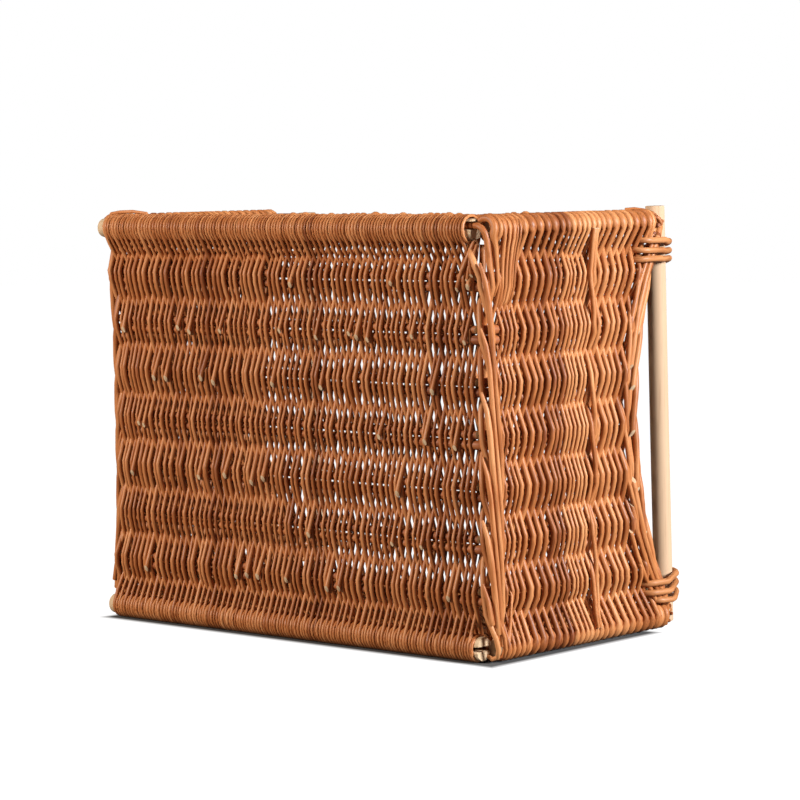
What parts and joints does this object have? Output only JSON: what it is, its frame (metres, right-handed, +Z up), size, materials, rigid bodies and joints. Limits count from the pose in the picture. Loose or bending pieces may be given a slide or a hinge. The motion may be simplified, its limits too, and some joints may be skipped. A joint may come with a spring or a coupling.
{
  "type": "magazine basket",
  "caption": "Rectangular woven willow basket with a wrapped frame, dipped short sides and a lashed round wooden handle across each dip, lying on one long side.",
  "frame": {"origin": "middle of the footprint, on the surface that the basket lies on in the picture", "axes": "+X along the long sides, towards the right short side of the picture; +Y from the base panel, which stands at the front, towards the open mouth; +Z up, across the basket from its lower long side to its upper one"},
  "size_m": [0.4588, 0.2748, 0.353],
  "materials": {
    "willow_weave": "satin buff willow",
    "willow_border": "satin buff willow",
    "willow_stake": "satin buff willow",
    "willow_lashing": "satin buff willow",
    "cut_wood": "rough cut willow",
    "peeled_wood": "smooth bare wood"
  },
  "bodies": {
    "root": {"base_weave": "willow_weave", "base_edge_stick_lower": "cut_wood", "base_edge_stick_upper": "cut_wood", "long_side_weave_lower": "willow_weave", "long_side_weave_upper": "willow_weave", "long_rim_border_lower": "willow_border", "long_rim_border_upper": "willow_border", "long_side_stake_lower_1": "willow_stake", "long_side_stake_lower_2": "willow_stake", "long_side_stake_lower_3": "willow_stake", "long_side_stake_lower_4": "willow_stake", "long_side_stake_lower_5": "willow_stake", "long_side_stake_lower_6": "willow_stake", "long_side_stake_lower_7": "willow_stake", "long_side_stake_lower_8": "willow_stake", "long_side_stake_lower_9": "willow_stake", "long_side_stake_upper_1": "willow_stake", "long_side_stake_upper_2": "willow_stake", "long_side_stake_upper_3": "willow_stake", "long_side_stake_upper_4": "willow_stake", "long_side_stake_upper_5": "willow_stake", "long_side_stake_upper_6": "willow_stake", "long_side_stake_upper_7": "willow_stake", "long_side_stake_upper_8": "willow_stake", "long_side_stake_upper_9": "willow_stake", "base_stick_1": "willow_stake", "base_stick_2": "willow_stake", "base_stick_3": "willow_stake", "base_stick_4": "willow_stake", "base_stick_5": "willow_stake", "base_stick_6": "willow_stake", "base_stick_7": "willow_stake", "short_side_weave_left": "willow_weave", "short_side_weave_right": "willow_weave", "short_rim_border_left": "willow_border", "short_rim_border_right": "willow_border", "handle_dowel_left": "peeled_wood", "handle_dowel_right": "peeled_wood", "side_stake_left_1": "willow_stake", "side_stake_left_2": "willow_stake", "side_stake_left_3": "willow_stake", "side_stake_left_4": "willow_stake", "side_stake_left_5": "willow_stake", "side_stake_left_6": "willow_stake", "side_stake_left_7": "willow_stake", "side_stake_right_1": "willow_stake", "side_stake_right_2": "willow_stake", "side_stake_right_3": "willow_stake", "side_stake_right_4": "willow_stake", "side_stake_right_5": "willow_stake", "side_stake_right_6": "willow_stake", "side_stake_right_7": "willow_stake", "corner_post_lower_left": "willow_stake", "corner_post_lower_right": "willow_stake", "corner_post_upper_left": "willow_stake", "corner_post_upper_right": "willow_stake", "lashing_lower_left": "willow_lashing", "lashing_lower_right": "willow_lashing", "lashing_upper_left": "willow_lashing", "lashing_upper_right": "willow_lashing"}
  },
  "joints": []
}
